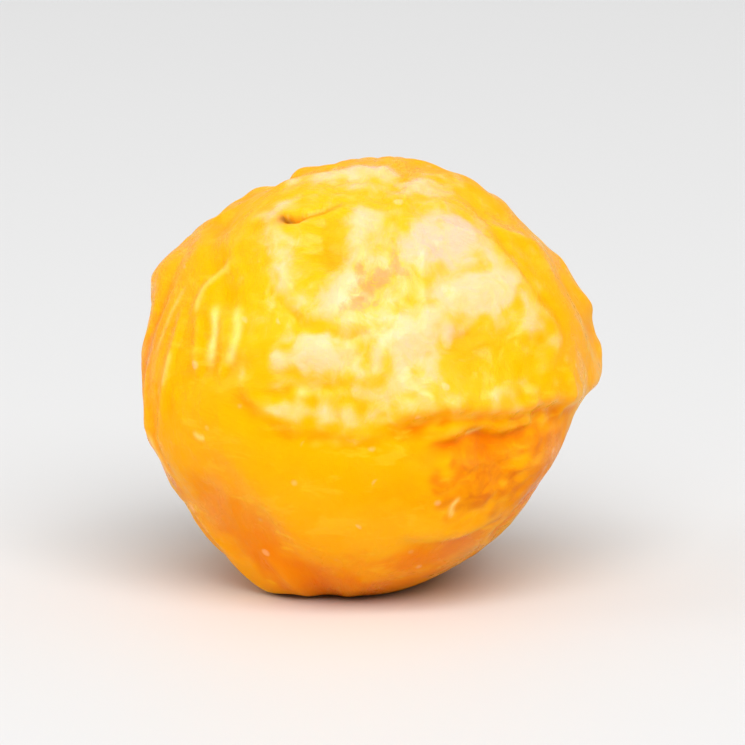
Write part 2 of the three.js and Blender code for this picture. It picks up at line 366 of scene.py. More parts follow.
# %% The lips
# Each fold here and below has a line of places, a width and a height.
LIPS = {
    "left shoulder": ([(-36, 8), (-30, 3), (-24, -1), (-17, -2)], 0.35, 0.12),
    "middle shoulder": ([(-20, -4), (-12, -3), (-4, -5), (5, -4)], 0.35, 0.1),
    "right shoulder": ([(2, -4), (9, 0), (20, 2), (37, 0), (48, 1), (62, -1), (80, -3)], 0.4, 0.36),
    "second shoulder": ([(12, -6), (21, -5), (28, -3), (36, -5), (48, -3)], 0.3, 0.24),
    "rear shoulder": ([(78, -3), (98, -6), (122, -6), (150, -12), (176, -20)], 0.6, 0.32),
    "lower right facet": ([(6, -33), (20, -36), (33, -36), (46, -28)], 0.5, 0.16),
    "lower left facet": ([(-14, -56), (-24, -40), (-31, -26), (-38, -14), (-46, -6)], 0.9, -0.1),
}
LIP_STEEPNESS = 1.6
LIP_REACH = 3
LIP_MEASURED = 8


def lip_height(d, line, width, height):
    distance, share, side = near_curve(d, line, LIP_MEASURED * width)
    step = np.tanh(LIP_STEEPNESS * side * distance / width)
    return height * fade(share) * step * bell(distance, LIP_REACH * width)


lip_relief = sum(lip_height(ball, *fold) for fold in LIPS.values())
print("the lips stand up to", lip_relief.max().round(2), "mm")

# %% [markdown]
# ## Ridges and hollows of the crown
# Round the stem the skin is drawn up in low ridges with hollows between them. At the upper
# left is a small nick with a crease running out of it. Along the crown's lower edge hang
# short pleats. The ridges are placed one by one, because each can be seen on the real berry.
# The pleats are only a kind of edge, so a loop makes them, each a little different.

# %% Ridges and hollows, placed one by one
CROWN_RIDGES = {
    "brow": ([(-67, 60), (-68, 68), (-44, 75), (9, 77), (40, 72)], 0.55, 0.2),
    "left collar": ([(-55, 60), (-37, 47), (-29, 38), (-20, 29), (-12, 24)], 0.4, 0.2),
    "middle": ([(-10, 62), (-3, 43), (-9, 31), (-13, 24)], 0.5, 0.24),
    "top": ([(4, 64), (24, 61), (46, 58)], 0.6, 0.12),
    "upper right": ([(12, 41), (28, 48), (50, 48)], 0.65, 0.2),
    "right": ([(22, 31), (36, 33), (51, 30)], 0.65, 0.22),
    "under the scar": ([(0, 14), (9, 21), (19, 22)], 0.6, 0.22),
    "left band": ([(-28, 14), (-17, 18), (-5, 17)], 0.6, 0.2),
    "right rim": ([(54, 26), (56, 16), (46, 8)], 0.4, 0.14),
}
CROWN_HOLLOWS = {
    "nick": ([(-39, 53), (-36, 54), (-30, 55)], 0.24, -0.45),
    "nick's crease": ([(-38, 53), (-31, 55), (-15, 60)], 0.16, -0.22),
    "left hollow": ([(-20, 59), (-17, 47), (-10, 38)], 0.6, -0.26),
    "collar groove": ([(-35, 35), (-20, 25), (-6, 21), (3, 26)], 0.26, -0.16),
    "band groove": ([(-32, 5), (-17, 8), (0, 10)], 0.3, -0.12),
    "right hollow": ([(20, 21), (33, 17), (46, 21)], 0.75, -0.28),
    "rim groove": ([(66, 64), (57, 48), (55, 31), (64, 13)], 0.4, -0.14),
    "blush groove": ([(14, 53), (30, 39), (46, 39)], 0.3, -0.12),
}
print(len(CROWN_RIDGES), "ridges and", len(CROWN_HOLLOWS), "hollows")

# %% Pleats along the crown's edge
SCALLOPS = {
    "seed": 19, "pans": range(-26, 62, 7), "jitter": 3, "lean": 4, "foot": -5,
    "tops": (5, 10), "widths": (0.28, 0.4), "heights": (0.08, 0.24),
}


def scallops(seed, pans, jitter, lean, foot, tops, widths, heights):
    """Short pleats that hang from the crown's lower edge."""
    draw = numbers(seed)
    made = []
    for pan in pans:
        pan += either_way(draw, jitter)
        aside = pan + either_way(draw, lean)
        top = between(draw, *tops)
        line = [(pan, foot), (aside, (top + foot) / 2), (aside, top)]
        made.append((line, between(draw, *widths), between(draw, *heights)))
    return made


pleats = scallops(**SCALLOPS)
print(len(pleats), "pleats hang from the crown")

# %% The crown's relief
CROWN_SHARE = 0.8
RIDGE_MEASURED = 3


def ridge_height(d, line, width, height):
    distance, share, _ = near_curve(d, line, RIDGE_MEASURED * width)
    return height * fade(share) * bell(distance, width)


crown_folds = [*CROWN_RIDGES.values(), *CROWN_HOLLOWS.values(), *pleats]
crown_relief = CROWN_SHARE * sum(ridge_height(ball, *fold) for fold in crown_folds)
print("the crown stands up to", crown_relief.max().round(2), "mm")

# %% [markdown]
# ## Folds of the sides and the back
# Where the skin is loosest it hangs in long folds from the stem over the sides and the back
# to the tip. At the tip, where the flower sat, it is puckered. The pleats on the left can be
# seen and are placed. The long folds can't, so they are drawn at random along lines that
# start near the stem, sway, and end on the far side, as a drying skin would fold.

# %% Folds that can be seen
SIDE_FOLDS = {
    "left pleat": ([(-54, 24), (-49, 15), (-48, 6)], 0.26, 0.16),
    "second pleat": ([(-43, 26), (-40, 16), (-41, 7)], 0.26, 0.14),
    "long pleat": ([(-62, 26), (-59, 12), (-60, 0), (-68, -19)], 0.3, 0.16),
    "pleat at the rim": ([(-72, 10), (-70, -5), (-70, -16), (-73, -26)], 0.3, 0.16),
    "fine pleat": ([(-47, 40), (-53, 32), (-56, 20)], 0.24, 0.1),
    "left seam": ([(-80, 40), (-76, 20), (-78, 0), (-84, -20)], 0.55, -0.22),
    "right facet top": ([(16, -9), (27, -12), (36, -11), (48, -8)], 0.3, 0.08),
}
print(len(SIDE_FOLDS), "folds are placed by eye")

# %% Long folds, drawn at random
LONG_FOLDS = {
    "count": 30, "seed": 71, "turns": (68, 292), "jitter": 0.7, "starts": (22, 97),
    "lengths": (35, 70), "sway": 14, "widths": (0.35, 0.7), "heights": (0.16, 0.36),
    "raised_share": 0.55,
}
LONG_FOLD_PARTS = 4


def from_stem(turn, arc):
    """A place an arc away from the stem scar, turned round it from straight down."""
    t = math.radians(turn)
    a = math.radians(arc)
    down = np.array([0, 0, -1]) + STEM[2] * STEM
    down /= np.linalg.norm(down)
    out = math.cos(t) * down + math.sin(t) * np.cross(STEM, down)
    return math.cos(a) * STEM + math.sin(a) * out


def long_folds(count, seed, turns, jitter, starts, lengths, sway, widths, heights, raised_share):
    """Folds that run from the stem over the sides and the back to the tip."""
    draw = numbers(seed)
    made = []
    for k in range(count):
        turn = turns[0] + (turns[1] - turns[0]) * (k + jitter * next(draw)) / count
        start = between(draw, *starts)
        length = between(draw, *lengths)
        swing = either_way(draw, sway)
        line = [
            from_stem(turn + swing * (-1) ** j, start + length * j / LONG_FOLD_PARTS)
            for j in range(LONG_FOLD_PARTS + 1)
        ]
        width = between(draw, *widths)
        height = between(draw, *heights)
        made.append((np.array(line), width, height if next(draw) < raised_share else -height))
    return made


rear_folds = long_folds(**LONG_FOLDS)
print(sum(height > 0 for *_, height in rear_folds), "of", len(rear_folds), "long folds stand up")

# %% Puckers at the tip
TIP_PUCKERS = {
    "count": 7, "seed": 5, "spacing": 51, "jitter": 40, "starts": (146, 164), "end": 173,
    "curl": 30, "width": 0.4, "depths": (0.05, 0.2),
}
PUCKER_PARTS = 2


def tip_puckers(count, seed, spacing, jitter, starts, end, curl, width, depths):
    """Short folds that run in to the tip."""
    draw = numbers(seed)
    made = []
    for k in range(count):
        turn = spacing * k + jitter * next(draw)
        start = between(draw, *starts)
        bend = either_way(draw, curl)
        line = [
            from_stem(turn + bend * j, start + (end - start) * j / PUCKER_PARTS)
            for j in range(PUCKER_PARTS + 1)
        ]
        made.append((np.array(line), width, -between(draw, *depths)))
    return made


puckers = tip_puckers(**TIP_PUCKERS)
print(len(puckers), "puckers run in to the tip")

# %% All the folds
BACK_START = -0.1
FOLDS_COME_IN = 0.4

# The long folds come in behind the front, where the placed ones end.
folds = sum(ridge_height(ball, *fold) for fold in rear_folds)
folds *= ease((ball[:, 1] - BACK_START) / FOLDS_COME_IN)
folds += sum(ridge_height(ball, *fold) for fold in puckers)
folds += sum(ridge_height(ball, *fold) for fold in SIDE_FOLDS.values())
folds += lip_relief + crown_relief
print("the folds run from", folds.min().round(2), "to", folds.max().round(2), "mm")

# %% [markdown]
# ## Wrinkles
# A shrinking skin throws sharp crests with rounded dips between them, and they run out from
# the stem. A Displace modifier with a noise texture would give bumps, not crests, and the
# same all over. Here a sum of plane waves in random directions gives a smooth random field,
# and where that field passes through nothing a crest is raised. The waves come from a fixed
# seed, so that every run wrinkles the berry in the same way.

# %% A random field of waves
WAVE_LENGTHS = (0.75, 1.25)


def wave_field(p, seed, spacing, waves):
    """A smooth random field, about 1 high, at places in millimetres."""
    draw = numbers(seed)
    total = np.zeros(len(p))
    for _ in range(waves):
        up = 2 * next(draw) - 1
        turn = 2 * math.pi * next(draw)
        pace = 2 * math.pi / (spacing * between(draw, *WAVE_LENGTHS))
        side = math.sqrt(1 - up * up) * pace
        way = np.array([side * math.cos(turn), side * math.sin(turn), up * pace])
        total += np.cos(p @ way + 2 * math.pi * next(draw))
    return total * math.sqrt(2 / waves)


# %% The grain of the skin
WRINKLE_STRETCH = 0.5
WARP = {"seed": 7, "spacing": 6.5, "waves": 14}
WARP_SHIFT = 0.7


def grain_of(d):
    """Places on the skin, squeezed along the way out from the stem, in millimetres."""
    away = np.arccos(np.clip(d @ STEM, -1, 1)) * MEAN_RADIUS
    place = d * MEAN_RADIUS
    across = place - np.outer(place @ STEM, STEM)
    bent = across + np.outer(away * WRINKLE_STRETCH, STEM)
    bent[:, 0] += WARP_SHIFT * wave_field(place, **WARP)
    bent[:, 2] += WARP_SHIFT * wave_field(place, **{**WARP, "seed": WARP["seed"] + 1})
    return bent, away


grain, away = grain_of(ball)
print("the tip is", away.max().round(1), "mm of skin away from the stem")

# %% Where the skin stayed full
# Each place has a reach and the share of the wrinkles that it keeps off.
SMOOTH = [
    (towards(-14, -28), 4.6, 0.8),
    (towards(60, 22), 2.2, 0.5),
    (np.array([0, 0, -1]), 3.6, 0.75),
]


def looseness(d):
    """1 where the skin is loose, less where it stayed full and smooth."""
    left = np.ones(len(d))
    for place, reach, share in SMOOTH:
        left *= 1 - share * bell(along_skin(d, place), reach)
    return left


loose_skin = looseness(ball)
print("the fullest skin keeps", round(float(loose_skin.min()), 2), "of its wrinkles")

# %% The wrinkles
WRINKLE = {"seed": 41, "spacing": 4.6, "waves": 36}
WRINKLE_HEIGHT = 0.13
WRINKLE_START = 0.6
WRINKLE_COMES_IN = 1.8
BACK_GAIN = 0.9
BACK_COMES_IN = 0.8
SOFT_CREST = 0.3

field = wave_field(grain, **WRINKLE)
crest = 1 - np.sqrt(field * field + SOFT_CREST**2)
loose_back = 1 + BACK_GAIN * ease((ball[:, 1] - BACK_START) / BACK_COMES_IN)
off_the_scar = ease((away - WRINKLE_START) / WRINKLE_COMES_IN)
wrinkles = WRINKLE_HEIGHT * loose_back * loose_skin * crest * off_the_scar
print("wrinkles run from", wrinkles.min().round(2), "to", wrinkles.max().round(2), "mm")

# %% [markdown]
# ## The stem scar and the tip
# Where the husk's stalk let go there is a shallow cup with a low rim. Opposite it the flower
# sat, and there the skin draws in to a dimple with a dry point in its middle. Both are round,
# so a height that depends only on the distance from their middle makes them.

# %% The scar and the tip
SCAR_CUP = {"reach": 0.8, "depth": 0.16}
SCAR_RIM = {"radius": 1.1, "width": 0.3, "height": 0.05}
TIP_CUP = {"reach": 1.3, "depth": 0.35}
TIP_POINT = {"reach": 0.35, "height": 0.25}


scar_distance = along_skin(ball, STEM)
scar_rim = SCAR_RIM["height"] * bell(scar_distance - SCAR_RIM["radius"], SCAR_RIM["width"])
scar_relief = scar_rim - SCAR_CUP["depth"] * bell(scar_distance, SCAR_CUP["reach"])
tip_distance = along_skin(ball, -STEM)
tip_point = TIP_POINT["height"] * bell(tip_distance, TIP_POINT["reach"])
tip_relief = tip_point - TIP_CUP["depth"] * bell(tip_distance, TIP_CUP["reach"])
print("the scar is", -scar_relief.min().round(2), "mm deep, the tip", -tip_relief.min().round(2))

# %% [markdown]
# ## Standing
# A soft berry sags on to the table. It could be cut off flat at the bottom, but the cut
# would show as a sharp ring. What would reach below the table is lifted on to it instead,
# with a rounded edge, so that it rests on a small flat foot.

# %% The whole form
FOOT_LIFT = 0.45
FOOT_LEVEL = -HEIGHT / 2 + FOOT_LIFT
FOOT_EDGE = 0.35


def stand(z, level):
    """Heights, with all that lies below the level lifted on to it."""
    t = (z - level) / FOOT_EDGE
    bend = level + FOOT_EDGE / 2 * (t + 0.5) ** 2
    return np.where(t <= -0.5, level, np.where(t >= 0.5, z, bend))


radius = body + folds + wrinkles + scar_relief + tip_relief
skin = ball * radius[:, None]
skin[:, 2] = stand(skin[:, 2], FOOT_LEVEL) - FOOT_LEVEL
skin[:, :2] -= (skin[:, :2].min(0) + skin[:, :2].max(0)) / 2
print("the skin's form is", (skin.max(0) - skin.min(0)).round(2), "mm")

# %% [markdown]
# ## What the finish needs to know
# Colour on the berry is made to follow its form: the dips get painted shade, a darker orange,
# and the skin pales round the stem. A material can't tell a dip from a crest by itself, and
# a painted image would need unwrapping. The form is known here, so each mask is worked out
# for every point and written on the mesh, where the material reads it.

# %% Averages and normals on the net
def edge_pairs(faces):
    pairs = np.concatenate([faces[:, [k, (k + 1) % 4]] for k in range(4)])
    return np.unique(np.sort(pairs, axis=1), axis=0)


def smoothed(values, pairs, rounds):
    """Values averaged with those beside them, again and again."""
    a, b = pairs.T
    points = len(values)
    count = np.bincount(pairs.ravel(), minlength=points)[:, None]
    for _ in range(rounds):
        sums = [np.bincount(a, v[b], points) + np.bincount(b, v[a], points) for v in values.T]
        values = (values + np.stack(sums, -1) / count) / 2
    return values


def outward(points, faces):
    """Normals of the points."""
    across = points[faces[:, 2]] - points[faces[:, 0]]
    other = points[faces[:, 3]] - points[faces[:, 1]]
    face_normals = np.cross(across, other)
    total = np.zeros_like(points)
    for k in range(4):
        for axis in range(3):
            total[:, axis] += np.bincount(faces[:, k], face_normals[:, axis], len(points))
    return total / np.linalg.norm(total, axis=1, keepdims=True)


# %% Depth of the dips
DIP_ROUNDS = 40
DIP_FULL = 0.12


def covered(mask):
    """The share of the skin where a mask is more than half on."""
    return round(float((mask > 0.5).mean()), 3)


pairs = edge_pairs(faces)
sunk = smoothed(skin, pairs, DIP_ROUNDS) - skin
depth_of_dip = np.einsum("ij,ij->i", sunk, outward(skin, faces))
masks = {"dip": np.clip(0.5 + depth_of_dip / DIP_FULL / 2, 0, 1)}
print("dips cover", covered(masks["dip"]), "of the skin")

# %% [markdown]
# ## Loose and low
# Two more masks come straight from the form. Loose is where the skin may crinkle, which it
# doesn't do on the foot. Low runs from the berry's waist down, where less light gets in, and
# there the material paints shade in a darker orange.

# %% The loose and the low skin
FOOT_CLEAR = 0.15
FOOT_COMES_IN = 0.8
LOW_TOP = 8.0
LOW_SPAN = 8.5

height_above = skin[:, 2]
masks["loose"] = loose_skin * ease((height_above - FOOT_CLEAR) / FOOT_COMES_IN)
masks["low"] = ease((LOW_TOP - height_above) / LOW_SPAN)
print("the low part covers", covered(masks["low"]), "of the skin")

# %% [markdown]
# ## Patches with ragged outlines
# The berry's colours lie in patches, and no patch has a clean edge. Brush strokes on an
# image could paint them. Here each patch is an oval on the skin, with a place, a size and a
# turn, and two fields of waves bend its outline, one broad and one fine. It can be moved
# like a fold, and it is as sharp as the mesh.

# %% Ovals
FRAY = {"seed": 57, "spacing": 1.5, "waves": 22}
FINE_FRAY = {"seed": 91, "spacing": 0.75, "waves": 26}
FRAY_SHIFT = 0.16


def oval(pan, rise, wide, high, turn=0):
    """Each point's distance from an oval's middle in the oval's own sizes: 1 is its outline."""
    centre = towards(pan, rise)
    east = np.cross((0, 0, 1), centre)
    east /= np.linalg.norm(east)
    north = np.cross(centre, east)
    u, v = ball @ east * MEAN_RADIUS, ball @ north * MEAN_RADIUS
    c, s = math.cos(math.radians(turn)), math.sin(math.radians(turn))
    q = np.hypot((c * u + s * v) / wide, (c * v - s * u) / high)
    return np.where(ball @ centre > 0, q, FAR)


skin_places = ball * MEAN_RADIUS
rags = FRAY_SHIFT * (wave_field(skin_places, **FRAY) + wave_field(skin_places, **FINE_FRAY))
print("an outline is bent by up to", rags.max().round(2), "of its oval")


def inside(place, edge, soft, fray=0.0):
    """1 well inside an oval and 0 outside, over a soft edge that the rags fray."""
    return ease((edge - oval(*place) + fray * rags) / soft)


def painted(patches, soft=1.4, fray=1.0):
    """Several patches together. Each has an oval and the share that it covers."""
    bare = np.ones(len(ball))
    for *place, share in patches.values():
        bare *= 1 - share * inside(place, 1 + soft / 2, soft, fray)
    return 1 - bare


# %% [markdown]
# ## The pale crown
# Round the stem the skin has bleached. Cream patches, one of them pinkish, lie over a lemon
# ground that ends in a ragged hem at the shoulder, and hollows between them stay golden. The
# cream is partly pale skin and partly a painted highlight of the overhead box, and the pink is
# partly a painted reflection of it. The crown is a large oval cut off along the hem, and
# everything pale is kept within it.

# %% Cream patches and the blush, partly painted highlight and reflection
# Cream patches: partly pale skin, partly a painted highlight of the overhead box.
# Each patch: pan, rise, half width, half height, turn and share.
CREAM_AND_HIGHLIGHT_PATCHES = {
    "upper right": (30, 47, 1.8, 1.25, 8, 0.95),
    "right": (36, 32, 1.9, 0.95, -8, 1.0),
    "under the scar": (11, 21, 1.35, 1.1, 20, 1.0),
    "left band": (-14, 16, 2.1, 0.85, 5, 0.75),
    "beside the hollow": (-9, 33, 0.7, 1.4, 0, 0.75),
    "top": (-8, 76, 2.6, 0.9, 0, 0.75),
    "hem ground": (-14, 4, 2.8, 0.9, 0, 0.45),
    "top right": (41, 69, 1.6, 0.8, -20, 0.5),
    "by the nick": (-47, 57, 0.9, 0.8, 40, 0.75),
    "below the nick": (-40, 48, 0.5, 0.9, 10, 0.6),
    "above the scar": (0, 53, 0.9, 1.0, 0, 0.6),
    "right rim": (51, 17, 0.7, 1.3, -15, 0.5),
    "under the band": (9, 10, 1.5, 0.7, 10, 0.6),
    "left collar": (-31, 39, 0.5, 1.2, 15, 0.5),
    "whole crown": (14, 40, 5.2, 3.6, 0, 0.3),
    "right half": (28, 38, 3.0, 3.0, 0, 0.3),
    "hem right": (40, 6, 1.6, 0.5, 5, 0.4),
    "hem left": (-15, 2, 1.9, 0.35, -4, 0.45),
}
# Pinkish patches: partly the skin's blush, partly a painted reflection of the overhead box.
BLUSH_AND_REFLECTION_PATCHES = {
    "upper right": (31, 49, 1.7, 1.2, 8, 0.9),
    "beside it": (15, 47, 0.6, 0.9, 0, 0.6),
    "right": (30, 35, 0.8, 0.5, 0, 0.3),
}
masks["blush"] = painted(BLUSH_AND_REFLECTION_PATCHES)
print(len(CREAM_AND_HIGHLIGHT_PATCHES), "cream patches and", len(BLUSH_AND_REFLECTION_PATCHES), "pinkish ones")

# %% Golden hollows
GOLD_HOLLOWS = {
    "left": (-18, 48, 0.75, 1.5, 15, 1.0),
    "right": (34, 14, 1.7, 0.8, 8, 1.0),
    "rim": (58, 40, 0.8, 3.0, 10, 0.7),
    "upper": (18, 60, 1.0, 0.4, -15, 0.6),
    "left shoulder": (-44, 37, 1.2, 1.9, 15, 0.9),
}
GOLD_OVER_CREAM = 0.85
GOLD_OVER_PALE = 0.7
gold = painted(GOLD_HOLLOWS)
print("the hollows cover", covered(gold), "of the skin")

# %% The crown and its hem
CROWN_OVAL = (8, 40, 6.3, 6.7)
CROWN_EDGE = {"edge": 1.12, "soft": 0.35, "fray": 0.3}
HEM = [(-62, 18), (-46, 8), (-34, 2), (-20, -3), (-4, -4), (9, 0), (37, 0), (62, 0)]
HEM_SOFT = 0.7
HEM_FRAY = 1.2

hem_distance, _, hem_side = near_curve(ball, HEM)
above_hem = ease(0.5 + (hem_side * hem_distance + HEM_FRAY * rags) / HEM_SOFT)
crown = inside(CROWN_OVAL, **CROWN_EDGE) * above_hem
# Cream follows the crown's relief, more on its ridges and less in its hollows, as painted highlight.
cream = np.clip(painted(CREAM_AND_HIGHLIGHT_PATCHES) + crown_relief, 0, 1)
masks["crown"] = crown
masks["pale"] = crown * (1 - GOLD_OVER_PALE * gold)
masks["cream"] = cream * crown * (1 - GOLD_OVER_CREAM * gold)
print("the crown covers", covered(crown), "of the skin")

# %% [markdown]
# ## Rubbed places, painted shade and painted light
# Low on the right the skin was rubbed, and there it is rough and darker. The lower facets, the
# bottom, the side rims and the place under the shoulder get painted shade in a darker orange,
# and between them, where the skin stayed full, painted light lifts the colour. These too are
# patches. The rough ones and the painted shade are cut off at the hem, because the crown has
# its own colours.

# %% Below the hem
ROUGH_PATCHES = {
    "middle": (30, -18, 1.7, 1.4, 0, 1.0),
    "above": (38, -9, 2.6, 0.7, 5, 0.9),
    "towards the rim": (47, -22, 1.2, 1.5, 0, 0.8),
}
# Painted shade: a darker orange where less light falls, on the lower facets, the bottom, the side rims
# and under the shoulder.
PAINTED_SHADE_PATCHES = {
    "lower left facet": (-48, -33, 2.3, 1.7, -55, 0.6),
    "under the facet": (-32, -50, 2.6, 1.2, -30, 0.65),
    "bottom": (-5, -62, 3.5, 1.2, 0, 0.6),
    "lower right": (25, -43, 2.2, 1.0, 10, 0.8),
    "right edge": (60, -20, 1.9, 2.6, 0, 1.0),
    "left edge": (-78, -12, 1.4, 5.0, -10, 0.8),
    "under the shoulder": (27, -8, 2.6, 0.45, 5, 0.6),
}
# Painted light: patches that take back the painted shade and add lemon on the lower front.
PAINTED_LIGHT_PATCHES = {
    "low middle": (2, -32, 2.7, 1.3, -6, 1.0),
    "below the rubbed place": (27, -26, 1.1, 0.6, 0, 0.8),
    "left of the middle": (-20, -22, 2.0, 1.2, -20, 0.5),
}
masks["rough"] = painted(ROUGH_PATCHES, soft=1.0) * (1 - above_hem)
masks["deep"] = painted(PAINTED_SHADE_PATCHES, soft=0.9, fray=0.4) * (1 - above_hem)
masks["painted light"] = painted(PAINTED_LIGHT_PATCHES, soft=1.2, fray=0.6)
print("the rubbed place covers", covered(masks["rough"]), "of the skin")

# %% [markdown]
# ## Small marks
# The nick is darkened with painted shade and narrows to a hairline. On the pleats at the left
# narrow pale streaks are painted highlights, where syrup catches the light, and a few more lie
# on the front. The scar is an oval of dry threads, and fine lines run down the left side. Lines
# and ovals make them all.

# %% The nick, the glints, the scar and the side lines
# The nick's dark is painted shade in its groove, darkest at its head.
NICK_LINE = [(-38, 53), (-31, 55), (-15, 60)]
NICK_WIDTH = 0.14
NICK_HEAD = 3
NICK_END = 0.3
NICK_DARK_TO = 1.2
NICK_PALES = 2
MARK_MEASURED = 2
# Each glint, a painted highlight: its line, its width and its brightness.
GLINTS = [
    ([(-48, 27), (-44, 19), (-45, 10)], 0.2, 1.0),
    ([(-40, 28), (-37, 19), (-39, 11)], 0.19, 0.9),
    ([(-59, 13), (-59, 8), (-60, 3)], 0.14, 0.6),
    ([(-48, 39), (-54, 30), (-54, 22)], 0.12, 0.5),
    ([(-69, -8), (-70, -16), (-72, -24)], 0.16, 0.7),
    ([(-64, 30), (-67, 20), (-68, 8)], 0.12, 0.45),
    ([(25, -21), (23, -24), (24, -28)], 0.1, 0.9),
    ([(-49, -6), (-47, -7), (-45, -7)], 0.12, 0.8),
    ([(25, -4), (28, -4), (31, -3)], 0.1, 0.8),
]
SCAR_OVAL = (2, 36, 0.8, 1.9, -30)
SCAR_EDGE = {"edge": 1.3, "soft": 0.9, "fray": -1.2}
LINED_OVAL = (-56, 10, 3.6, 7.5)
LINED_EDGE = {"edge": 1.3, "soft": 1.0}

nick_distance, nick_share, _ = near_curve(ball, NICK_LINE, MARK_MEASURED)
nick_width = NICK_WIDTH * (1 + ease(1 - NICK_HEAD * nick_share))
nick_dark = NICK_END + (1 - NICK_END) * ease(NICK_DARK_TO - NICK_PALES * nick_share)
glints = np.zeros(len(ball))
for line, width, brightness in GLINTS:
    mark_distance, mark_share, _ = near_curve(ball, line, MARK_MEASURED)
    glints = np.maximum(glints, brightness * fade(mark_share) * bell(mark_distance, width))
masks["nick"] = bell(nick_distance, nick_width) * nick_dark
masks["glints"] = glints
masks["scar"] = inside(SCAR_OVAL, **SCAR_EDGE)
masks["lines"] = inside(LINED_OVAL, **LINED_EDGE)
print(len(masks), "masks:", ", ".join(masks))

# %% [markdown]
# ## A small language for node trees
# The finest relief and the finish are made by node trees. They could be built node by node,
# but then a sum takes five lines. Here a wire stands for the output of a node, and ordinary
# sums and products of wires add the Math nodes. Any other node comes from one function.

# %% Wires and nodes
class Wire:
    """The output of a node. Sums and products of wires add Math nodes to the tree."""

    def __init__(self, tree, socket):
        self.tree = tree
        self.socket = socket

    def math(self, operation, *values, clamp=False):
        settings = {"operation": operation, "use_clamp": clamp}
        return node(self.tree, "ShaderNodeMath", settings, dict(enumerate(values)))

    def __add__(self, other):
        return self.math("ADD", self, other)

    def __sub__(self, other):
        return self.math("SUBTRACT", self, other)

    def __rsub__(self, other):
        return self.math("SUBTRACT", other, self)

    def __mul__(self, other):
        return self.math("MULTIPLY", self, other)

    def __rtruediv__(self, other):
        return self.math("DIVIDE", other, self)

    __radd__ = __add__
    __rmul__ = __mul__

    def clamped(self):
        return self.math("ADD", self, 0, clamp=True)

    def size(self):
        return self.math("ABSOLUTE", self)


# %% Any other node
def node(tree, kind, settings=None, sockets=None, output=0):
    """Adds a node: its settings first, then the values or links of its sockets."""
    made = tree.nodes.new(kind)
    for name, value in (settings or {}).items():
        setattr(made, name, value)
    for name, value in (sockets or {}).items():
        if isinstance(value, Wire):
            tree.links.new(value.socket, made.inputs[name])
        else:
            made.inputs[name].default_value = value
    return Wire(tree, made.outputs[output])


# %% A soft ramp
def ramp(tree, value, low, high):
    """0 below low and 1 above high, with soft ends."""
    settings = {"interpolation_type": "SMOOTHSTEP"}
    sockets = {"Value": value, "From Min": low, "From Max": high}
    return node(tree, "ShaderNodeMapRange", settings, sockets)


# %% [markdown]
# ## Fine crinkles
# Between the wrinkles the skin is crinkled, creased and dotted with pimples that are finer
# than a hair. A bump in the material would vanish at the outline and from the printed mesh,
# so they are real geometry. Geometry Nodes reads the grain that is written on the mesh and
# pushes each point along its normal. The sizes are inputs of the tree, so a maker can try
# other values on the modifier.

# %% Sizes and seeds of the crinkles
CRINKLE_SIZES = {
    "Crinkle spacing": 1.5, "Crinkle height": 0.03, "Pimple spacing": 1.6, "Pimple height": 0.03,
}
# Each kind of crest: its seed, how much finer it is than the spacing, and how sharp.
CRINKLES = {"seed": 3.7, "finer": 1.0, "detail": 2.0, "sharp": 6}
TORN_SKIN = {"seed": 9.1, "finer": 1.9, "detail": 2.0, "sharp": 7}
CREASES = {"seed": 5.3, "finer": 2.1, "detail": 1.0, "sharp": 8}
TORN_GAIN = 1.8
PIMPLE_EDGES = (0.16, 0.02)
print(CRINKLE_SIZES)


# %% The crinkle tree
def crinkle_tree(skin_material):
    tree = bpy.data.node_groups.new("fine crinkles", "GeometryNodeTree")
    face = tree.interface
    face.new_socket("Geometry", in_out="INPUT", socket_type="NodeSocketGeometry")
    for name in CRINKLE_SIZES:
        face.new_socket(name, in_out="INPUT", socket_type="NodeSocketFloat")
    face.new_socket("Geometry", in_out="OUTPUT", socket_type="NodeSocketGeometry")
    given = tree.nodes.new("NodeGroupInput")
    skin_in, spacing, height, dot_spacing, dot_height = [
        Wire(tree, given.outputs[k]) for k in range(len(CRINKLE_SIZES) + 1)
    ]

    def stored(name, kind="FLOAT"):
        return node(tree, "GeometryNodeInputNamedAttribute", {"data_type": kind}, {"Name": name})

    def crests(place, seed, finer, detail, sharp):
        """1 on the lines where a noise is halfway up, and less to both sides."""
        sockets = {"Vector": place, "W": seed, "Scale": 1 / spacing * finer, "Detail": detail}
        field = node(tree, "ShaderNodeTexNoise", {"noise_dimensions": "4D"}, sockets)
        return 1 - ((field - 0.5) * sharp).size()

    grain_here = stored("grain", "FLOAT_VECTOR")
    place_here = stored("place", "FLOAT_VECTOR")
    crinkled = crests(grain_here, **CRINKLES)
    torn = crests(place_here, **TORN_SKIN) * stored("rough") * TORN_GAIN
    creased = crests(grain_here, **CREASES) * stored("crown")
    dot_sockets = {"Vector": place_here, "Scale": 1 / dot_spacing}
    pimple = ramp(tree, node(tree, "ShaderNodeTexVoronoi", None, dot_sockets), *PIMPLE_EDGES)
    push = ((crinkled + torn + creased) * height + pimple * dot_height) * stored("loose")
    normal = node(tree, "GeometryNodeInputNormal")
    offset = node(tree, "ShaderNodeVectorMath", {"operation": "SCALE"}, {0: normal, "Scale": push * MM})
    moved = node(tree, "GeometryNodeSetPosition", None, {"Geometry": skin_in, "Offset": offset})
    whole = node(tree, "GeometryNodeRealizeInstances", None, {"Geometry": moved})
    dressed = {"Geometry": whole, "Material": skin_material}
    finished = node(tree, "GeometryNodeSetMaterial", None, dressed)
    out = tree.nodes.new("NodeGroupOutput")
    tree.links.new(finished.socket, out.inputs[0])
    print("the crinkle tree has", len(tree.nodes), "nodes")
    return tree


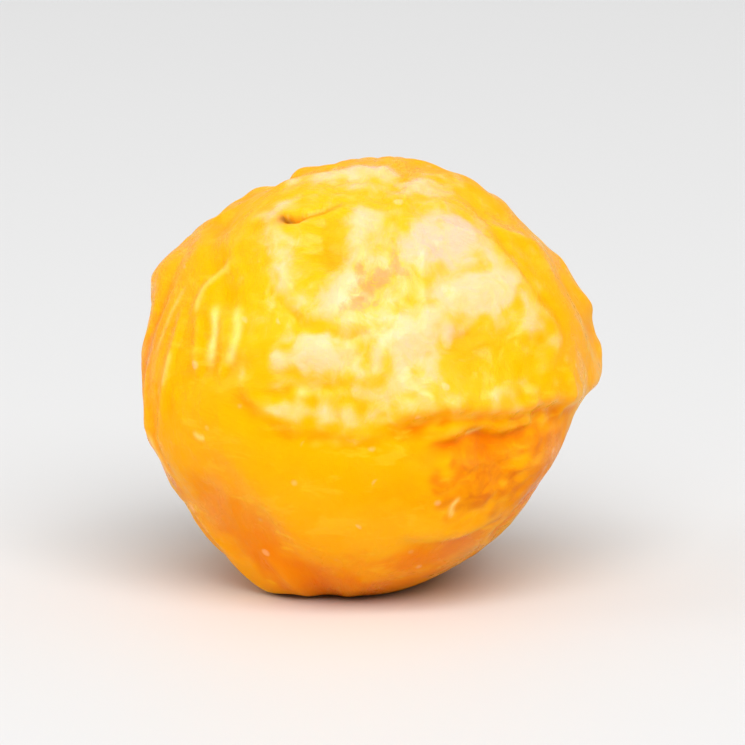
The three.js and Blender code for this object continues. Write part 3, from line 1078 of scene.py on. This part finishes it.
# %% [markdown]
# ## The skin's colours
# Under a thin skin the flesh is a stiff golden jelly. What the eye sees is a few colours laid
# over each other: gold; a darker orange, with some random tone, that is painted shade in the
# dips, low down and on the shaded facets; painted light that lifts the lower front; lemon
# round the stem; cream and a blush there, partly pale skin and partly painted highlight and
# reflection; painted highlights on the pleats and in dots; the brown of the scar; and painted
# shade in the nick. Each colour has a rule for how much of it shows, a sum of masks and noises
# with weights, so that a colour can be tuned alone.

# %% The colours
GOLD = (0.95, 0.41, 0.001, 1)
# A darker orange: painted shade, and some random deeper tone.
DEEP_AND_SHADE = (0.80, 0.17, 0.0, 1)
LEMON = (0.96, 0.47, 0.018, 1)
# Cream: pale skin and painted highlight; the painted highlight dots use it too.
CREAM_AND_HIGHLIGHT = (0.98, 0.57, 0.32, 1)
# Pink: partly the skin's own, partly painted reflection.
BLUSH_AND_REFLECTION = (1.0, 0.49, 0.38, 1)
SCAR = (0.66, 0.33, 0.13, 1)
# The pale colour of the painted glints.
PAINTED_GLINT = (1.0, 0.66, 0.2, 1)
RUBBED = (0.70, 0.20, 0.004, 1)
# Painted shade for the nick's groove.
NICK_SHADE = (0.16, 0.04, 0.003, 1)

# %% The noises
# The first two are on the grain, in millimetres. The others are on Object coordinates.
PATCHES = {"scale": 0.55, "detail": 3.0, "rough": 0.6, "bend": 0.6}
FINE_GRAIN = {"scale": 6.0, "detail": 3.0, "rough": 0.6}
CLOUDS = {"scale": 260, "detail": 2.0}
FLECKS = {"scale": 1100, "detail": 3.0, "rough": 0.6, "bend": 1.0}
THREADS = {"scale": 2600, "detail": 3.0, "rough": 0.7, "bend": 1.5}
PORES = {"scale": 9000, "detail": 2.0}
STREAKS = {"scale": 520, "detail": 3.0, "rough": 0.6, "bend": 0.8}
STREAK_SQUEEZE = (1, 1, 3)
SIDE_LINES = {"scale": 2300, "detail": 2.0, "rough": 0.5, "bend": 0.4}
SIDE_LINE_SQUEEZE = (1, 1, 0.16)
# The painted highlight dots: their edges, and which pimples get one.
DOT_EDGES = (0.15, 0.07)
DOT_CHOICE = {"scale": 700, "detail": 0.0}
DOT_CHOSEN = (0.48, 0.54)

# %% How much of each colour shows
# Painted shade in the dips, from the waist down and on the painted shade patches, less under painted
# light; the clouds add random tone.
DEEP_AND_SHADE_RULE = {"dip": 1.1, "low": 0.35, "deep": 0.55, "clouds": 0.5, "painted light": -0.4}
LEMON_RULE = {"pale": 0.9, "clouds": 0.5, "pale flecks": 0.7}
STREAK_RULE = {"streaks": 1.0, "crown": -1.0, "deep": -0.2}
STREAK_EDGES = (0.53, 0.66)
# Lemon comes from the skin's own streaks and from the painted light patches.
STREAK_SHARES = {"streak": 0.7, "painted light": 0.55}
RUBBED_RULE = {"rough": 0.7, "rough flecks": 1.6}
CREAM_RULE = {"cream": 1.0, "crown flecks": 1.1, "dip": -0.4}
CREAM_EDGES = (0.0, 1.25)
CREAM_MOST = 0.95
BLUSH_RULE = {"blush": 0.8, "flecks": 0.8}
BLUSH_MOST = 0.8
SCAR_RULE = {"scar": 1.0, "threads": 2.2}
SCAR_EDGES = (0.35, 1.0)
SCAR_MOST = 0.8
GLINT_DOT_MOST = 0.45
GLINT_MOST = 0.85
NICK_MOST = 0.85

# %% [markdown]
# ## Gloss and relief
# Light goes into the jelly, spreads and comes out orange. A glassy shader would need real
# flesh inside, so a Principled shader with subsurface scattering stands for it: red travels
# furthest and blue hardly at all. Dried syrup lies over the skin in a thin, patchy coat, and
# the finest lines and pores are only a bump, because they are finer than the mesh.

# %% Gloss, syrup and bump
FLESH_REACH = 0.7 * MM
FIXED_LOOKS = {
    "Subsurface Weight": 0.55,
    "Subsurface Radius": (1.0, 0.42, 0.06),
    "Subsurface Scale": FLESH_REACH,
    "IOR": 1.4,
    "Specular IOR Level": 0.14,
    "Specular Tint": (1, 0.66, 0.1, 1),
    "Coat Roughness": 0.24,
    "Coat IOR": 1.5,
}
WET_RULE = {"patches": 1.0, "flecks": 0.6, "crown": 0.1}
WET_EDGES = (0.35, 0.65)
DRY_ROUGHNESS = 0.46
ROUGHNESS_RULE = {"wet": -0.22, "scar": 0.2, "rough": 0.05}
SYRUP_RULE = {"glints": 0.6, "wet crown": 0.14, "wet loose": 0.22}
BUMP_RULE = {"fine grain": 0.9, "pores": 0.1, "side lines": 1.6, "fleck relief": 1.0}
FLECK_RELIEF = 0.4
CROWN_FLECK_RELIEF = 0.8
BUMP = {"Strength": 0.5, "Distance": 0.06 * MM}
print("light goes", FLESH_REACH / MM, "mm into the flesh")

# %% [markdown]
# ## The skin's material
# The material is put together in the order of the rules above: first the masks and noises,
# then the layers of colour from the lowest up, then gloss and bump. What is the same all
# over the skin is set on the shader itself, and only what changes is wired to it.

# %% Mixing colours
def blend(tree, share, below, above):
    """A mix of two colours: the first where share is 0 and the second where it is 1."""
    sockets = {0: share, 6: below, 7: above}
    return node(tree, "ShaderNodeMix", {"data_type": "RGBA"}, sockets, output=2)


# %% Masks and noises, by name
def skin_fields(tree):
    """The masks on the mesh and the noises, by name. Noises that add and take are centred."""

    def attribute(name, output):
        return node(tree, "ShaderNodeAttribute", {"attribute_name": name}, output=output)

    def noise(vector, scale, detail, rough=0.5, bend=0.0):
        sockets = {
            "Vector": vector, "Scale": scale, "Detail": detail, "Roughness": rough, "Distortion": bend,
        }
        return node(tree, "ShaderNodeTexNoise", None, sockets)

    def squeezed(vector, shares):
        return node(tree, "ShaderNodeVectorMath", {"operation": "MULTIPLY"}, {0: vector, 1: shares})

    place = node(tree, "ShaderNodeTexCoord", output=3)
    grain_here = attribute("grain", 1)
    spot_sockets = {"Vector": attribute("place", 1), "Scale": 1 / CRINKLE_SIZES["Pimple spacing"]}
    spots = ramp(tree, node(tree, "ShaderNodeTexVoronoi", None, spot_sockets), *DOT_EDGES)
    flecks = noise(place, **FLECKS)
    fields = {name: attribute(name, 2) for name in masks}
    fields["dip"] = fields["dip"] - 0.5
    fields["flecks"] = flecks - 0.5
    fields["clouds"] = noise(place, **CLOUDS) - 0.5
    fields["threads"] = noise(place, **THREADS) - 0.5
    fields["patches"] = noise(grain_here, **PATCHES)
    fields["streaks"] = noise(squeezed(place, STREAK_SQUEEZE), **STREAKS)
    # Painted highlight dots on some of the pimples.
    fields["dots"] = spots * ramp(tree, noise(place, **DOT_CHOICE), *DOT_CHOSEN)
    for name in ("pale", "rough", "crown"):
        fields[name + " flecks"] = fields["flecks"] * fields[name]
    fields["fine grain"] = noise(grain_here, **FINE_GRAIN)
    fields["pores"] = noise(place, **PORES)
    side_lines = noise(squeezed(place, SIDE_LINE_SQUEEZE), **SIDE_LINES)
    fields["side lines"] = side_lines * fields["lines"]
    fields["fleck relief"] = flecks * (FLECK_RELIEF + fields["crown"] * CROWN_FLECK_RELIEF)
    return fields


# %% The layers of colour
def weighed(fields, rule):
    """The sum of the fields that a rule names, each with its weight."""
    return sum(fields[name] * weight for name, weight in rule.items())


def skin_colour(tree, fields):
    """The layers of colour, from the lowest up, each with its share."""
    fields["streak"] = ramp(tree, weighed(fields, STREAK_RULE), *STREAK_EDGES)
    cream_share = ramp(tree, weighed(fields, CREAM_RULE), *CREAM_EDGES)
    scar_share = ramp(tree, weighed(fields, SCAR_RULE), *SCAR_EDGES) * fields["scar"]
    layers = [
        (weighed(fields, DEEP_AND_SHADE_RULE).clamped(), DEEP_AND_SHADE),
        (weighed(fields, LEMON_RULE).clamped(), LEMON),
        (weighed(fields, STREAK_SHARES).clamped(), LEMON),
        (weighed(fields, RUBBED_RULE).clamped(), RUBBED),
        (cream_share * CREAM_MOST, CREAM_AND_HIGHLIGHT),
        (weighed(fields, BLUSH_RULE).clamped() * cream_share * BLUSH_MOST, BLUSH_AND_REFLECTION),
        (scar_share * SCAR_MOST, SCAR),
        (fields["dots"] * GLINT_DOT_MOST, CREAM_AND_HIGHLIGHT),
        (fields["glints"] * GLINT_MOST, PAINTED_GLINT),
        (fields["nick"] * NICK_MOST, NICK_SHADE),
    ]
    colour = GOLD
    for share, tint in layers:
        colour = blend(tree, share, colour, tint)
    return colour


# %% The material
def skin_finish():
    made = bpy.data.materials.new("physalis skin")
    made.use_nodes = True
    tree = made.node_tree
    shader = tree.nodes["Principled BSDF"]
    for name, value in FIXED_LOOKS.items():
        shader.inputs[name].default_value = value
    fields = skin_fields(tree)
    wet = ramp(tree, weighed(fields, WET_RULE), *WET_EDGES)
    fields |= {"wet": wet, "wet crown": wet * fields["crown"], "wet loose": wet * fields["loose"]}
    relief = weighed(fields, BUMP_RULE)
    varying = {
        "Base Color": skin_colour(tree, fields),
        "Roughness": DRY_ROUGHNESS + weighed(fields, ROUGHNESS_RULE),
        "Coat Weight": weighed(fields, SYRUP_RULE).clamped(),
        "Normal": node(tree, "ShaderNodeBump", None, {**BUMP, "Height": relief}),
    }
    for name, wire in varying.items():
        tree.links.new(wire.socket, shader.inputs[name])
    print("the skin's material has", len(tree.nodes), "nodes")
    return made


# %% [markdown]
# ## Making the piece
# The points become a mesh in metres and the masks become attributes. The crinkle tree runs
# once, and its result is kept as a plain mesh. A live modifier would look the same, but a
# plain mesh can be measured, exported and printed as it is.

# %% The berry's mesh
def store(mesh, name, kind, values):
    layer = mesh.attributes.new(name, kind, "POINT")
    target = "vector" if kind == "FLOAT_VECTOR" else "value"
    layer.data.foreach_set(target, values.astype(np.float32).ravel())


skin_mesh = bpy.data.meshes.new("berry_skin_start")
skin_mesh.from_pydata((skin * MM).tolist(), [], faces.tolist())
for name, values in masks.items():
    store(skin_mesh, name, "FLOAT", values)
store(skin_mesh, "grain", "FLOAT_VECTOR", grain)
store(skin_mesh, "place", "FLOAT_VECTOR", skin)
skin_mesh.shade_smooth()
print("the skin's mesh carries", len(skin_mesh.attributes), "attributes")
start = add("berry_start", skin_mesh)

# %% The crinkles, run once
crinkles = start.modifiers.new("crinkles", "NODES")
crinkles.node_group = crinkle_tree(skin_finish())
for item in crinkles.node_group.interface.items_tree:
    if item.name in CRINKLE_SIZES:
        crinkles[item.identifier] = CRINKLE_SIZES[item.name]
depsgraph = bpy.context.evaluated_depsgraph_get()
berry_mesh = bpy.data.meshes.new_from_object(start.evaluated_get(depsgraph))
bpy.data.objects.remove(start)
berry = add("berry_whole", berry_mesh)
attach(berry, "root")
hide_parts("berry")
print("the berry has", sum(len(p.vertices) - 2 for p in berry_mesh.polygons), "triangles")

# %% [markdown]
# ## The studio
# The table is one pale plane, and the light is soft. A bright sky alone would light every
# side alike and hide the folds. A wide box overhead, a little in front, draws them and lays
# a gloss on the crown, a weaker one low on the left lifts the shade, and the pale room
# fills the rest.

# %% The table
FLOOR_HALF = 3.0
FLOOR_GREY = (0.70, 0.70, 0.70, 1)
FLOOR_ROUGHNESS = 0.6

floor_finish = bpy.data.materials.new("pale table")
floor_finish.use_nodes = True
floor_shader = floor_finish.node_tree.nodes["Principled BSDF"]
floor_shader.inputs["Base Color"].default_value = FLOOR_GREY
floor_shader.inputs["Roughness"].default_value = FLOOR_ROUGHNESS
floor_mesh = bpy.data.meshes.new("floor")
corners = [(-1, -1), (1, -1), (1, 1), (-1, 1)]
floor_mesh.from_pydata([(x * FLOOR_HALF, y * FLOOR_HALF, 0) for x, y in corners], [], [(0, 1, 2, 3)])
floor_mesh.materials.append(floor_finish)
add("floor", floor_mesh)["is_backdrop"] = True
print("the table is", 2 * FLOOR_HALF, "m wide")

# %% The lights and the room
ROOM_WHITE = (1, 1, 1, 1)
ROOM_BRIGHTNESS = 0.46


def soft_box(name, place, width, height, radiance):
    """A white light of an even brightness, aimed at the berry."""
    data = bpy.data.lights.new(name, "AREA")
    data.shape = "RECTANGLE"
    data.size = width
    data.size_y = height
    data.energy = radiance * math.pi * width * height
    aim(add(name, data), place, middle)
    print(name, "shines with", round(data.energy, 2), "watts")


soft_box("overhead box", (0.1, -0.8, 0.85), width=1.1, height=0.8, radiance=5.1)
soft_box("left box", (-1.15, -0.15, 0.3), width=0.5, height=0.7, radiance=2.2)
world = bpy.data.worlds.new("pale room")
world.use_nodes = True
room = world.node_tree.nodes["Background"]
room.inputs["Color"].default_value = ROOM_WHITE
room.inputs["Strength"].default_value = ROOM_BRIGHTNESS
bpy.context.scene.world = world
bpy.context.scene.view_settings.view_transform = "Standard"
bpy.context.scene.view_settings.look = "Medium High Contrast"

# %% [markdown]
# ## The size, measured
# The visual berry should stay inside the imported one's box, apart from its finest relief.
# Measuring both boxes at the end shows whether it does.

# %% Sizes and finish
visual_low, visual_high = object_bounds()
sizes_out = {
    "cad": [list(cad_low), list(cad_high)],
    "visual": [list(visual_low), list(visual_high)],
}
for name, (low_corner, high_corner) in sizes_out.items():
    print(name, [round((b - a) / MM, 2) for a, b in zip(low_corner, high_corner)], "mm")
